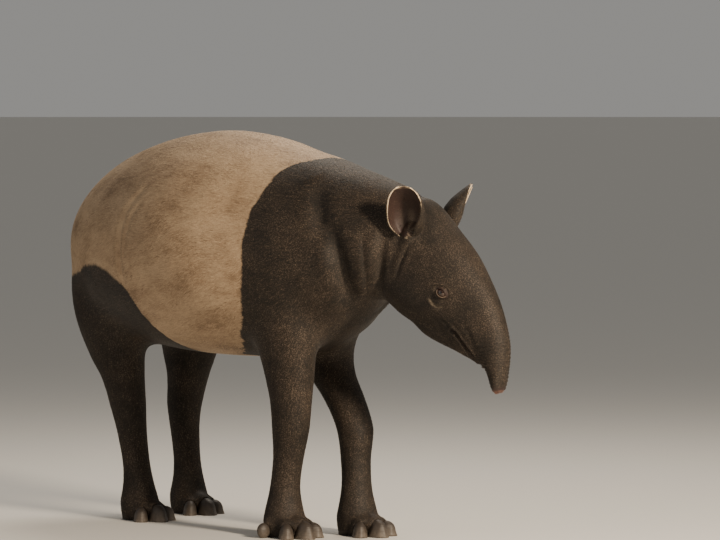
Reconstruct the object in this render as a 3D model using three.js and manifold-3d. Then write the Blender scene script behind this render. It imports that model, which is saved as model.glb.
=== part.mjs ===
// A Malayan tapir at life size, walking with its head lowered and turned a little to its left.
// Millimetres, +Z up, +X towards the head, +Y to the animal's left. The feet stand flat on Z = 0.
// Trunk, legs and head are lofts through measured sections. They are joined, then parted by thin cuts.
import * as THREE from "three";
import { mergeVertices } from "three/addons/utils/BufferGeometryUtils.js";
import Module from "manifold-3d";

const wasm = await Module();
wasm.setup();

const radians = THREE.MathUtils.degToRad;

// Driving dimensions
const CUT = 0.3; // width of the thin cuts that part the body
const HEAD_TURN = radians(15); // to the animal's left
const TURN_FROM = 400; // the neck starts to bend at the shoulder
const TURN_TO = 630; // and has turned fully at the angle of the jaw
const POLL = [742, 893]; // X and Z of the top of the head, between the ears

const COAT_PALE = new THREE.MeshStandardMaterial({ name: "coat_pale", color: "#b9aa97", roughness: 0.85 });
const COAT_DARK = new THREE.MeshStandardMaterial({ name: "coat_dark", color: "#2b2421", roughness: 0.8 });
const HORN = new THREE.MeshStandardMaterial({ name: "hoof_horn", color: "#3a322c", roughness: 0.5 });
const CORNEA = new THREE.MeshStandardMaterial({ name: "eye", color: "#1a0f0a", roughness: 0.08 });

// Shapes

// A cross-section: X and Z of its first edge (top of the trunk, front of a leg) and of its second edge, its
// half width, where its middle lies in Y, how much its width grows towards the second edge, and how full
// its corners are (1 is an ellipse, less is squarer).
function section(first, second, halfWidth, { y = 0, sag = 0, corner = 1 } = {}) {
  return { first, second, halfWidth, y, sag, corner };
}

// The same sections, larger all round.
function grown(sections, by) {
  return sections.map((s) => {
    const across = new THREE.Vector2(s.first[0] - s.second[0], s.first[1] - s.second[1]).setLength(by);
    return {
      ...s,
      first: [s.first[0] + across.x, s.first[1] + across.y],
      second: [s.second[0] - across.x, s.second[1] - across.y],
      halfWidth: s.halfWidth + by,
    };
  });
}

function signedPower(value, power) {
  return Math.sign(value) * Math.abs(value) ** power;
}

// A closed form through the sections, made by moving the rows of a sphere onto them. Both ends are flat.
function loft(sections, around, rings) {
  const geometry = new THREE.SphereGeometry(1, around, rings + 1);
  const position = geometry.getAttribute("position");
  const spline = (pick) =>
    new THREE.CatmullRomCurve3(sections.map((s) => new THREE.Vector3(...pick(s))), false, "catmullrom");
  const firstEdge = spline((s) => [s.first[0], s.y, s.first[1]]);
  const secondEdge = spline((s) => [s.second[0], s.y, s.second[1]]);
  const sizes = spline((s) => [s.halfWidth, s.sag, s.corner]);
  for (let row = 0; row <= rings + 1; row++) {
    const t = THREE.MathUtils.clamp((row - 1) / (rings - 1), 0, 1);
    const middle = firstEdge.getPoint(t).lerp(secondEdge.getPoint(t), 0.5);
    const reach = firstEdge.getPoint(t).sub(middle);
    const { x: halfWidth, y: sag, z: corner } = sizes.getPoint(t);
    const open = row === 0 || row === rings + 1 ? 0 : 1;
    for (let column = 0; column <= around; column++) {
      const angle = (column / around) * 2 * Math.PI;
      const along = open * signedPower(Math.cos(angle), corner);
      const aside = open * signedPower(Math.sin(angle), corner);
      const point = middle.clone().addScaledVector(reach, along);
      point.y += aside * halfWidth * (1 - sag * along);
      position.setXYZ(row * (around + 1) + column, point.x, point.y, point.z);
    }
  }
  return geometry;
}

// An ellipsoid, pitched about Y and then turned about Z, in degrees.
function ellipsoid(radii, centre, { pitch = 0, yaw = 0, around = 12, rows = 8 } = {}) {
  return new THREE.SphereGeometry(1, around, rows)
    .rotateX(Math.PI / 2)
    .scale(...radii)
    .rotateY(radians(pitch))
    .rotateZ(radians(yaw))
    .translate(...centre);
}

// The outline with every side moved outwards.
function widened(outline, by) {
  const points = outline.map((p) => new THREE.Vector2(...p));
  const outwards = THREE.ShapeUtils.area(points) > 0 ? 1 : -1;
  return points.map((p, i) => {
    const before = p.clone().sub(points.at(i - 1)).normalize();
    const after = points[(i + 1) % points.length].clone().sub(p).normalize();
    const mitre = new THREE.Vector2(before.y + after.y, -before.x - after.x).multiplyScalar(outwards);
    return p.clone().addScaledVector(mitre, (2 * by) / mitre.lengthSq());
  });
}

const [X_AXIS, Y_AXIS, Z_AXIS] = [[1, 0, 0], [0, 1, 0], [0, 0, 1]].map((axis) => new THREE.Vector3(...axis));

// A prism: an outline in X and Z swept along Y, or one in Y and Z swept along X.
function prism(outline, [from, to], { sweep = "y", widen = 0 } = {}) {
  const shape = new THREE.Shape(widened(outline, widen));
  const axes = sweep === "y" ? [X_AXIS, Z_AXIS, Y_AXIS] : [Y_AXIS, Z_AXIS, X_AXIS];
  return new THREE.ExtrudeGeometry(shape, { depth: to - from + 2 * widen, bevelEnabled: false })
    .translate(0, 0, from - widen)
    .applyMatrix4(new THREE.Matrix4().makeBasis(...axes));
}

const mirrored = (geometry) => geometry.clone().scale(1, -1, 1);

// Solids

// A geometry as a solid, with its doubled vertices joined and its faces outwards.
function solid(geometry) {
  const bare = geometry.clone();
  bare.deleteAttribute("normal");
  bare.deleteAttribute("uv");
  const merged = mergeVertices(bare, 1e-3);
  const vertProperties = new Float32Array(merged.attributes.position.array);
  const triVerts = new Uint32Array(merged.index.array);
  const made = new wasm.Manifold(new wasm.Mesh({ numProp: 3, vertProperties, triVerts }));
  if (made.volume() >= 0) return made;
  return new wasm.Manifold(new wasm.Mesh({ numProp: 3, vertProperties, triVerts: triVerts.reverse() }));
}

// A solid as a geometry, for a mesh or for a further move.
function geometryOf(made) {
  const { vertProperties, triVerts } = made.getMesh();
  return new THREE.BufferGeometry()
    .setAttribute("position", new THREE.BufferAttribute(vertProperties, 3))
    .setIndex(new THREE.BufferAttribute(triVerts, 1));
}

const join = (...solids) => solids.reduce((all, next) => all.add(next));

// Parts a body by a prism: what lies inside it, and the rest, with a thin cut between them.
function parted(body, outline, span, { sweep = "y", place = new THREE.Matrix4() } = {}) {
  const region = (widen) => solid(prism(outline, span, { sweep, widen }).applyMatrix4(place));
  return [body.intersect(region(0)), body.subtract(region(CUT))];
}

// Trunk and neck, from the buttocks to inside the back of the head

const TRUNK = [
  section([-592, 800], [-590, 738], 58),
  section([-580, 846], [-577, 664], 116),
  section([-540, 896], [-535, 582], 165, { sag: 0.04 }),
  section([-465, 944], [-460, 514], 210, { sag: 0.06 }),
  section([-350, 990], [-345, 470], 256, { sag: 0.08 }),
  section([-180, 1028], [-175, 452], 296, { sag: 0.1 }),
  section([0, 1043], [0, 446], 314, { sag: 0.12 }),
  section([170, 1028], [175, 450], 300, { sag: 0.12 }),
  section([310, 998], [310, 464], 262, { sag: 0.1 }),
  section([430, 978], [424, 490], 222, { sag: 0.06 }),
  section([535, 952], [514, 538], 178, { sag: 0.03 }),
  section([630, 926], [602, 594], 145),
  section([704, 896], [664, 634], 120),
  section([752, 858], [702, 680], 86),
];
const TAIL = [
  section([-562, 868], [-552, 822], 26),
  section([-594, 858], [-582, 816], 24),
  section([-615, 834], [-598, 803], 18),
  section([-626, 802], [-612, 789], 13),
  section([-628, 774], [-619, 770], 7),
];

// The bend of the neck. Ahead of it everything is carried round as one.
const BEND_RADIUS = (TURN_TO - TURN_FROM) / HEAD_TURN;
const headPlace = new THREE.Matrix4()
  .makeTranslation(TURN_FROM + BEND_RADIUS * Math.sin(HEAD_TURN), BEND_RADIUS * (1 - Math.cos(HEAD_TURN)), 0)
  .multiply(new THREE.Matrix4().makeRotationZ(HEAD_TURN))
  .multiply(new THREE.Matrix4().makeTranslation(-TURN_TO, 0, 0));

function bent(geometry) {
  const position = geometry.getAttribute("position");
  for (let i = 0; i < position.count; i++) {
    const point = new THREE.Vector3().fromBufferAttribute(position, i);
    if (point.x > TURN_TO) {
      point.applyMatrix4(headPlace);
    } else if (point.x > TURN_FROM) {
      const angle = (point.x - TURN_FROM) / BEND_RADIUS;
      const arm = BEND_RADIUS - point.y;
      point.set(TURN_FROM + arm * Math.sin(angle), BEND_RADIUS - arm * Math.cos(angle), point.z);
    }
    position.setXYZ(i, ...point);
  }
  return geometry;
}

const trunkForm = (gap) => solid(bent(loft(grown(TRUNK, gap), 26, 28)));

// Legs, from inside the trunk down to the sole, on the animal's left and standing square

const HIND_LEG = [
  section([-252, 770], [-500, 770], 60, { y: 100 }),
  section([-236, 660], [-552, 660], 88, { y: 128 }),
  section([-250, 550], [-534, 550], 90, { y: 140 }),
  section([-306, 455], [-508, 455], 74, { y: 136 }),
  section([-372, 372], [-502, 372], 57, { y: 126 }),
  section([-416, 300], [-530, 300], 49, { y: 118 }),
  section([-434, 240], [-524, 240], 43, { y: 114 }),
  section([-438, 155], [-516, 155], 40, { y: 112 }),
  section([-432, 95], [-518, 95], 44, { y: 111 }),
  section([-418, 45], [-526, 45], 53, { y: 110 }),
  section([-424, 0], [-518, 0], 48, { y: 110 }),
];
const FORE_LEG = [
  section([470, 760], [300, 760], 62, { y: 100 }),
  section([488, 640], [266, 640], 82, { y: 114 }),
  section([470, 530], [268, 530], 80, { y: 110 }),
  section([450, 440], [290, 440], 66, { y: 101 }),
  section([438, 350], [314, 350], 54, { y: 95 }),
  section([431, 275], [322, 275], 50, { y: 92 }),
  section([419, 210], [332, 210], 43, { y: 90 }),
  section([414, 135], [332, 135], 42, { y: 90 }),
  section([420, 85], [326, 85], 48, { y: 90 }),
  section([430, 42], [318, 42], 56, { y: 91 }),
  section([424, 0], [324, 0], 50, { y: 91 }),
];

// How far the walk has carried each leg forward, at the hip or shoulder, the stifle or elbow, the hock or
// wrist, and the foot
const SHIFT_HEIGHTS = [720, 470, 290, 110];
const WALK = {
  hind_right: [0, 40, 155, 190],
  hind_left: [0, 0, 75, 100],
  fore_right: [0, 20, 10, -20],
  fore_left: [-30, -120, 35, 50],
};

function carried(sections, shifts) {
  const shift = (z) => {
    const height = THREE.MathUtils.clamp(z, SHIFT_HEIGHTS.at(-1), SHIFT_HEIGHTS[0]);
    const below = Math.max(1, SHIFT_HEIGHTS.findIndex((h) => h <= height));
    const share = (SHIFT_HEIGHTS[below - 1] - height) / (SHIFT_HEIGHTS[below - 1] - SHIFT_HEIGHTS[below]);
    return THREE.MathUtils.lerp(shifts[below - 1], shifts[below], share);
  };
  const moved = ([x, z]) => [x + shift(z), z];
  return sections.map((s) => ({ ...s, first: moved(s.first), second: moved(s.second) }));
}

// Toes: the way each points from the middle of the sole (degrees, outwards is positive), how far out its
// middle is, its size against the middle toe, and how high it is carried
const TOES = {
  fore: [
    { name: "inner", way: -32, out: 56, size: 0.88, lift: 0 },
    { name: "middle", way: 0, out: 62, size: 1, lift: 0 },
    { name: "outer", way: 32, out: 56, size: 0.88, lift: 0 },
    { name: "side", way: 88, out: 50, size: 0.66, lift: 9 },
  ],
  hind: [
    { name: "inner", way: -32, out: 52, size: 0.86, lift: 0 },
    { name: "middle", way: 0, out: 59, size: 1, lift: 0 },
    { name: "outer", way: 32, out: 52, size: 0.86, lift: 0 },
  ],
};
const TOE_RADII = [42, 26, 32];
const TOE_HEIGHT = 27;
const HOOF_RADII = [32, 21.5, 30];
const HOOF_HEIGHT = 16;
const HOOF_AHEAD = 26;
const HOOF_PITCH = 26;
const GROUND = [[-2000, -300], [2000, -300], [2000, 0], [-2000, 0]];
const underfoot = solid(prism(GROUND, [-900, 900]));

// A leg on the animal's left with its toes, and its hooves as solids of their own on the tips of the toes.
function leftLeg(kind, shifts) {
  const sections = carried(kind === "fore" ? FORE_LEG : HIND_LEG, shifts);
  const sole = sections.at(-1);
  const heel = [(sole.first[0] + sole.second[0]) / 2, sole.y];
  const toes = TOES[kind].map(({ name, way, out, size, lift }) => {
    const place = (reach, height) => [
      heel[0] + reach * Math.cos(radians(way)),
      heel[1] + reach * Math.sin(radians(way)),
      height * size + lift,
    ];
    const turn = { yaw: way, around: 8, rows: 6 };
    const flesh = solid(ellipsoid(TOE_RADII.map((r) => r * size), place(out, TOE_HEIGHT), turn));
    const horn = (gap) => {
      const radii = HOOF_RADII.map((r) => r * size + gap);
      const centre = place(out + HOOF_AHEAD * size, HOOF_HEIGHT);
      return solid(ellipsoid(radii, centre, { ...turn, pitch: HOOF_PITCH }));
    };
    return { name, flesh, horn };
  });
  const foot = join(solid(loft(sections, 14, 19)), ...toes.map((toe) => toe.flesh));
  return {
    flesh: foot.subtract(join(underfoot, ...toes.map((toe) => toe.horn(CUT)))),
    hooves: toes.map(({ name, horn }) => ({ name, made: horn(0).subtract(underfoot) })),
  };
}

// Head, in X and Z from the poll: first the forehead and the front of the snout, second the throat, the
// palate and the back of the snout

const fromPoll = ([x, z]) => [POLL[0] + x, POLL[1] + z];
const headSection = (first, second, halfWidth, more) => section(fromPoll(first), fromPoll(second), halfWidth, more);
const onHead = (geometry) => solid(geometry.clone().applyMatrix4(headPlace));
const HEAD = [
  headSection([-44, -34], [-112, -190], 66),
  headSection([8, -12], [-108, -266], 86),
  headSection([54, -36], [-50, -318], 93, { corner: 0.95 }),
  headSection([102, -88], [32, -352], 88, { corner: 0.9 }),
  headSection([160, -145], [96, -362], 76, { sag: 0.08, corner: 0.85 }),
  headSection([202, -203], [138, -372], 63, { sag: 0.14, corner: 0.84 }),
  headSection([240, -264], [168, -398], 51, { sag: 0.14, corner: 0.86 }),
  headSection([266, -330], [192, -424], 43, { sag: 0.08, corner: 0.92 }),
  headSection([278, -388], [208, -446], 38),
  headSection([273, -442], [219, -472], 33),
  headSection([266, -484], [226, -492], 30),
  headSection([258, -508], [231, -510], 21),
];
const JAW = [
  headSection([-16, -240], [-46, -304], 44),
  headSection([40, -280], [26, -364], 57, { corner: 0.85 }),
  headSection([100, -304], [84, -390], 50, { corner: 0.78 }),
  headSection([142, -328], [126, -406], 42, { corner: 0.78 }),
  headSection([172, -370], [154, -420], 33, { corner: 0.8 }),
  headSection([190, -404], [178, -430], 20),
];
// The lips, a soft roll along the mouth; the slit between them; and the cuts that part jaw and snout
const LIPS = [
  headSection([62, -268], [30, -330], 62),
  headSection([116, -290], [86, -352], 60, { corner: 0.9 }),
  headSection([160, -326], [126, -374], 52, { corner: 0.85 }),
  headSection([184, -366], [150, -398], 41, { corner: 0.85 }),
  headSection([202, -400], [172, -422], 31),
  headSection([206, -420], [186, -433], 20),
];
const MOUTH = [[196, -424], [170, -388], [139, -347]];
const SLIT = [[203, -431], [171.5, -387], [139, -347], [168, -389.5], [196, -432]].map(fromPoll);
const JAW_REGION = [...MOUTH, [60, -322], [-36, -342], [-40, -440], [190, -440]].map(fromPoll);
const SNOUT_REGION = [[150, -424], [340, -320], [340, -560], [150, -560]].map(fromPoll);
const HEAD_REGION = [[-62, 60], [-86, -150], [-128, -330], [-40, -700], [700, -700], [700, 60]].map(fromPoll);

const headForm = (gap) => loft(grown(HEAD, gap), 22, 23);
const skull = headForm(0);
const mandible = loft(JAW, 14, 10);
const face = [skull, mandible].map((form) => new THREE.Mesh(form, new THREE.MeshBasicMaterial({ side: 2 })));

// Where the side of the face is, at this X and Z: the outermost Y to the animal's right.
function faceSide([x, z]) {
  const ray = new THREE.Raycaster(new THREE.Vector3(x, -500, z), Y_AXIS);
  return ray.intersectObjects(face)[0].point.y;
}

// An ellipsoid that swells the right side of the face.
function swelling(radii, place, pitch, sunk) {
  const [x, z] = fromPoll(place);
  return ellipsoid(radii, [x, faceSide([x, z]) + sunk, z], { pitch, rows: 6 });
}
const BROW = swelling([46, 15, 20], [106, -220], 40, 11);
const CHEEK = swelling([88, 24, 62], [4, -232], 30, 19);

const EYE_RADIUS = 14.5;
const EYE_AT = fromPoll([122, -252]);
const EYE_SUNK = 8.5; // the middle of the eyeball lies this far inside the face
const LID_RING = 15.5;
const LID_THICKNESS = 4.6;
const LID_SQUEEZE = 0.78; // height of the opening against its length
const LID_TILT = -35; // the slit of the eye runs down towards the snout
const LID_TURN = 10; // the opening looks a little ahead
const LID_AHEAD = 1.5; // the ring stands this far ahead of the eyeball's middle
const LID_OUT = 0.5; // and this far outside the face
const eyeCentre = [EYE_AT[0], faceSide(EYE_AT) + EYE_SUNK, EYE_AT[1]];
const eyeball = (gap) => ellipsoid([1, 1, 1].map(() => EYE_RADIUS + gap), eyeCentre, { around: 12, rows: 8 });
const lids = new THREE.TorusGeometry(LID_RING, LID_THICKNESS, 6, 16)
  .scale(1, LID_SQUEEZE, 1)
  .rotateZ(radians(LID_TILT))
  .rotateX(Math.PI / 2)
  .rotateZ(radians(LID_TURN))
  .translate(eyeCentre[0] + LID_AHEAD, eyeCentre[1] - EYE_SUNK - LID_OUT, eyeCentre[2]);

// Nostrils, side by side in the tip of the snout
const [NOSTRIL_X, NOSTRIL_Z] = fromPoll([246, -506]);
const nostril = ellipsoid([8, 8, 17], [NOSTRIL_X, -12.5, NOSTRIL_Z], { pitch: -12, around: 10, rows: 6 });

// Ears: a cup that opens to the side and ahead, its front margin rolled over low down. Each ear is turned its
// own way.

const EAR_LENGTH = 140;
const EAR_WALL = 4.5;
const EAR_COLUMNS = 14;
const EAR_ROLL = 0.45; // depth of the rolled margins against that of the cup
const EAR_ROOT = [POLL[0] + 24, -84, POLL[1] - 112];
const EAR_STALK = [30, 27, 44];
const EAR_STALK_AT = [EAR_ROOT[0] - 2, EAR_ROOT[1] + 14, EAR_ROOT[2] - 8];
const EAR_LEAN_OUT = 26;
const EAR_LEAN_AHEAD = 13;
const EAR_OPENS_AHEAD = { right: 24, left: 52 };
// From the root to the tip: the share of the length, the half width, the depth of the cup, and how far round
// the front margin and the rear one reach, in degrees from the middle of its back.
const EAR_ROWS = [
  [0, 20, 16, 160, 140],
  [0.13, 36, 29, 154, 116],
  [0.25, 45, 38, 146, 103],
  [0.4, 50, 42, 133, 95],
  [0.6, 48, 36, 114, 90],
  [0.77, 41, 25, 100, 90],
  [0.9, 29, 15, 92, 90],
  [0.97, 18, 10, 90, 90],
  [1, 8, 7, 90, 90],
];

// The cup of one ear: a flat grid, moved onto the rows from margin to margin.
function earCup(side) {
  const rows = EAR_ROWS.length - 1;
  const geometry = new THREE.BoxGeometry(1, 1, 1, EAR_COLUMNS, 1, rows);
  const position = geometry.getAttribute("position");
  for (let i = 0; i < position.count; i++) {
    const [height, halfWidth, depth, front, rear] = EAR_ROWS[Math.round((position.getZ(i) + 0.5) * rows)];
    const angle = radians(THREE.MathUtils.lerp(-rear, front, position.getX(i) + 0.5));
    const inset = EAR_WALL * (position.getY(i) + 0.5);
    const roll = Math.cos(angle) < 0 ? EAR_ROLL : 1;
    const across = (halfWidth - inset) * Math.sin(angle);
    const back = (depth - inset) * roll * Math.cos(angle);
    position.setXYZ(i, across, back, height * EAR_LENGTH);
  }
  const turn = [EAR_LEAN_OUT, EAR_LEAN_AHEAD, EAR_OPENS_AHEAD[side]].map(radians);
  const placed = new THREE.Matrix4().makeRotationFromEuler(new THREE.Euler(...turn, "XYZ"));
  return geometry.applyMatrix4(placed).translate(...EAR_ROOT);
}

const earStalk = ellipsoid(EAR_STALK, EAR_STALK_AT, { around: 10, rows: 6 });

// The whole, parted into its pieces

const group = new THREE.Group();

// Adds the largest closed surface of a piece under its name.
function addMesh(name, made, material) {
  const largest = made.decompose().reduce((best, next) => (next.volume() > best.volume() ? next : best));
  const mesh = new THREE.Mesh(geometryOf(largest), material);
  mesh.name = name;
  group.add(mesh);
}

const SIDES = { right: (geometry) => geometry, left: mirrored };
let head = join(onHead(skull), onHead(mandible), onHead(loft(LIPS, 14, 9)));
head = head.subtract(onHead(prism(SLIT, [-100, 100])));
for (const put of Object.values(SIDES)) {
  const swellings = [BROW, CHEEK, lids, earStalk];
  const hollows = [eyeball(CUT), nostril];
  head = join(head, ...swellings.map((form) => onHead(put(form))));
  head = hollows.reduce((left, form) => left.subtract(onHead(put(form))), head);
}

let trunk = join(trunkForm(0), head);
for (const [side, put] of Object.entries(SIDES)) {
  const socket = join(onHead(headForm(CUT)), trunkForm(CUT), onHead(put(earStalk)));
  addMesh(`ear_${side}`, onHead(put(earCup(side))).subtract(socket), COAT_DARK);
  addMesh(`eye_${side}`, onHead(put(eyeball(0))), CORNEA);
}
addMesh("tail", solid(loft(TAIL, 10, 8)).subtract(trunkForm(CUT)), COAT_DARK);

// Each leg is cut at the knee and at the ankle; its top is joined to the trunk and parted from it again by
// a slope that rises outwards from the groin.
const SLOPE_REACH = 340;
const LIMBS = {
  hind: { parts: ["thigh", "shank", "hindfoot"], groin: [24, 452], span: [-700, -222], cuts: [428, 272] },
  fore: { parts: ["arm", "forearm", "forefoot"], groin: [18, 464], span: [205, 535], cuts: [436, 258] },
};
const SLOPE_RISE = 200;
const below = (height) => [[-900, -5], [900, -5], [900, height], [-900, height]];
for (const [kind, { parts, groin, span, cuts }] of Object.entries(LIMBS)) {
  for (const side of ["left", "right"]) {
    const leg = leftLeg(kind, WALK[`${kind}_${side}`]);
    const put = (made) => (side === "left" ? made : solid(mirrored(geometryOf(made))));
    const [lower, upper] = parted(put(leg.flesh), below(cuts[0]), [-SLOPE_REACH, SLOPE_REACH]);
    const [foot, middle] = parted(lower, below(cuts[1]), [-SLOPE_REACH, SLOPE_REACH]);
    const region = [[groin[0], -5], [SLOPE_REACH, -5], [SLOPE_REACH, groin[1] + SLOPE_RISE], groin];
    const mirroredRegion = region.map(([y, z]) => [side === "left" ? y : -y, z]);
    let limb;
    [limb, trunk] = parted(join(trunk, upper), mirroredRegion, span, { sweep: "x" });
    [limb, middle, foot].forEach((made, i) => addMesh(`${parts[i]}_${side}`, made, COAT_DARK));
    leg.hooves.forEach(({ name, made }) => addMesh(`hoof_${kind}_${side}_${name}`, put(made), HORN));
  }
}

const NECK_REGION = [[540, 400], [530, 560], [420, 1100], [1300, 1100], [1300, 300]];
const [foreBody, torso] = parted(trunk, NECK_REGION, [-600, 600]);
const [wholeHead, neck] = parted(foreBody, HEAD_REGION, [-400, 400], { place: headPlace });
const [jaw, faceAndSnout] = parted(wholeHead, JAW_REGION, [-200, 200], { place: headPlace });
const [snout, faceAndEars] = parted(faceAndSnout, SNOUT_REGION, [-200, 200], { place: headPlace });
addMesh("torso", torso, COAT_PALE);
addMesh("neck", neck, COAT_DARK);
addMesh("head", faceAndEars, COAT_DARK);
addMesh("jaw", jaw, COAT_DARK);
addMesh("snout", snout, COAT_DARK);

// The middle of the overall box stands over the origin.
const middle = new THREE.Box3().setFromObject(group).getCenter(new THREE.Vector3());
group.position.set(-middle.x, -middle.y, 0);

export default group;
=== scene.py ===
"""A Malayan tapir at life size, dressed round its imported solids: skin, coat, ears, eyes and hooves.

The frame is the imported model's: +X towards the head, +Y to the animal's left, +Z up. Lengths are in
metres, or in millimetres where a class says so. The neck turns the head a little to the left, so shapes
that are alike on both sides are worked out on the straightened body and carried round the bend.
"""
import logging
import math
from collections.abc import Callable, Iterable
from dataclasses import dataclass, field
from enum import Enum

import bmesh
import bpy
import numpy as np
from mathutils import Matrix, Vector


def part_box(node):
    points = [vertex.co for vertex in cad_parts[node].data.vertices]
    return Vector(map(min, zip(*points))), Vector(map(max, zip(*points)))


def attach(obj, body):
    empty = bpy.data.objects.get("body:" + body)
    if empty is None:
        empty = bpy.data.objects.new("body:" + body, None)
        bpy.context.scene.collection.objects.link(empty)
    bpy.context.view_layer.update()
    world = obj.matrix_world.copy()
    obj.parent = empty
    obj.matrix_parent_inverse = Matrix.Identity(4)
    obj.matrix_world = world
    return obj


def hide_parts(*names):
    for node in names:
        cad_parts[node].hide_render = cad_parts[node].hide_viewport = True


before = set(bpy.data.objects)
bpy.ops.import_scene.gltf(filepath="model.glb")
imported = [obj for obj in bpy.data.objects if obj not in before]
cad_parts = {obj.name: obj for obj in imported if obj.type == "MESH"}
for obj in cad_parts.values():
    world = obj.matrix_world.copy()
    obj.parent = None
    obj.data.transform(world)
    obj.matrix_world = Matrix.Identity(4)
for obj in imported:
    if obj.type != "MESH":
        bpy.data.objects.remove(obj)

LOG = logging.getLogger("tapir")
MM = 0.001
BODY = "root"
Array = np.ndarray


# Small tools for meshes


def rows_of(items: bpy.types.bpy_prop_collection, name: str, size: int, kind: type = np.float32) -> Array:
    """What the items of a mesh hold under a name.

    Args:
        items: the vertices, edges or triangles, or the values of a layer.
        name: the property that is read.
        size: how many numbers it has.
        kind: the type of its numbers.

    Returns:
        One row for each item.
    """
    values = np.empty(len(items) * size, kind)
    items.foreach_get(name, values)
    return values.reshape(-1, size)


def points_of(mesh: bpy.types.Mesh) -> Array:
    """The places of a mesh's vertices, one row each."""
    return rows_of(mesh.vertices, "co", 3).astype(float)


def normals_of(mesh: bpy.types.Mesh) -> Array:
    """The normals of a mesh's vertices, one row each."""
    return rows_of(mesh.vertices, "normal", 3).astype(float)


def put_points(mesh: bpy.types.Mesh, points: Array) -> None:
    """Moves the vertices of a mesh to the places given."""
    mesh.vertices.foreach_set("co", points.astype(np.float32).ravel())
    mesh.update()


def edges_of(mesh: bpy.types.Mesh) -> Array:
    """The two vertices of each edge of a mesh."""
    return rows_of(mesh.edges, "vertices", 2, np.int32)


def unit(vectors: Array) -> Array:
    """The vectors, each made one long."""
    return vectors / np.maximum(np.linalg.norm(vectors, axis=1, keepdims=True), 1e-12)


def ramp(values: Array, start: float, end: float) -> Array:
    """0 before start, 1 after end, and smooth between them. Start may be the larger."""
    t = np.clip((values - start) / (end - start), 0, 1)
    return t * t * (3 - 2 * t)


def bump(values: Array, width: float) -> Array:
    """1 where the value is 0, falling off smoothly over the width."""
    return np.exp(-((values / width) ** 2))


def relaxed(points: Array, edges: Array, share: Array, passes: int) -> Array:
    """Points drawn towards the mean of their neighbours.

    Args:
        points: the places of the vertices.
        edges: the two vertices of each edge.
        share: how far each point goes towards the mean at each pass, 0 to 1.
        passes: how often that is done.

    Returns:
        The new places.
    """
    count = len(points)
    first = np.concatenate([edges[:, 0], edges[:, 1]])
    second = np.concatenate([edges[:, 1], edges[:, 0]])
    valence = np.maximum(np.bincount(first, minlength=count), 1)
    for _ in range(passes):
        mean = np.stack([np.bincount(first, points[second, k], count) / valence for k in range(3)], 1)
        points = points + (mean - points) * share[:, None]
    return points


def drift(points: Array, size: float, seed: int) -> Array:
    """Smooth noise from -1 to 1, from a few waves in set directions.

    Args:
        points: where it is wanted.
        size: the length of its waves, in metres.
        seed: picks the directions and phases.

    Returns:
        One value for each point.
    """
    dice = np.random.default_rng(seed)
    waves = unit(dice.normal(size=(7, 3))) * (2 * math.pi / size) * dice.uniform(0.6, 1.6, (7, 1))
    phases = dice.uniform(0, 2 * math.pi, 7)
    return np.sin(points @ waves.T + phases).sum(1) / 3.2


def nearest_on_way(flat: Array, way: Array) -> tuple[Array, Array]:
    """How points of a plane lie to a broken line in it.

    Args:
        flat: the points.
        way: the corners of the line.

    Returns:
        How far each point lies from the line, and how far along the line its nearest place is, 0 to 1.
    """
    runs = np.linalg.norm(np.diff(way, axis=0), axis=1)
    passed = np.concatenate([[0.0], np.cumsum(runs)]) / runs.sum()
    away, along = np.full(len(flat), np.inf), np.zeros(len(flat))
    for start, end, low, high in zip(way[:-1], way[1:], passed[:-1], passed[1:]):
        run = end - start
        t = np.clip(((flat - start) @ run) / (run @ run), 0, 1)
        gap = np.linalg.norm(flat - start - t[:, None] * run, axis=1)
        along = np.where(gap < away, low + (high - low) * t, along)
        away = np.minimum(away, gap)
    return away, along


def baked(piece: bpy.types.Object, name: str) -> bpy.types.Mesh:
    """The mesh of an object with its modifiers in it; the object itself goes.

    Args:
        piece: the object.
        name: the mesh's name.

    Returns:
        The mesh.
    """
    bpy.context.view_layer.update()
    graph = bpy.context.evaluated_depsgraph_get()
    mesh = bpy.data.meshes.new_from_object(piece.evaluated_get(graph), depsgraph=graph)
    mesh.name = name
    bpy.data.objects.remove(piece)
    return mesh


def object_of(mesh: bpy.types.ID, name: str) -> bpy.types.Object:
    """A new object in the scene that holds the mesh.

    Args:
        mesh: the mesh, or a camera's or lamp's data.
        name: the object's name.

    Returns:
        The object.
    """
    piece = bpy.data.objects.new(name, mesh)
    bpy.context.scene.collection.objects.link(piece)
    return piece


def aimed(data: bpy.types.Camera | bpy.types.Light, place: Vector, back: Vector) -> bpy.types.Object:
    """Puts a camera or a lamp into the scene.

    Args:
        data: what it is, with the name it gets.
        place: where it stands.
        back: the way to it from what it looks at.

    Returns:
        The object.
    """
    piece = object_of(data, data.name)
    piece.location = place
    piece.rotation_mode = "QUATERNION"
    piece.rotation_quaternion = back.to_track_quat("Z", "Y")
    return piece


def voxelled(mesh: bpy.types.Mesh, size: float) -> bpy.types.Mesh:
    """The mesh fused to one even surface of squares of that size.

    Args:
        mesh: closed surfaces, which may cross.
        size: the length of a square's side.

    Returns:
        The fused mesh.
    """
    piece = object_of(mesh, "fusing")
    remesh = piece.modifiers.new("fuse", "REMESH")
    remesh.mode = "VOXEL"
    remesh.voxel_size = size
    return baked(piece, "fused")


def combined(base: bpy.types.Mesh, other: bpy.types.Mesh) -> bpy.types.Mesh:
    """Two meshes joined to one closed surface.

    Args:
        base: the one mesh.
        other: the mesh that is joined to it.

    Returns:
        The new mesh; the objects that made it go.
    """
    holder, tool = object_of(base, "base"), object_of(other, "tool")
    union = holder.modifiers.new("union", "BOOLEAN")
    union.operation, union.object, union.solver = "UNION", tool, "MANIFOLD"
    made = baked(holder, "combined")
    bpy.data.objects.remove(tool)
    return made


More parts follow.
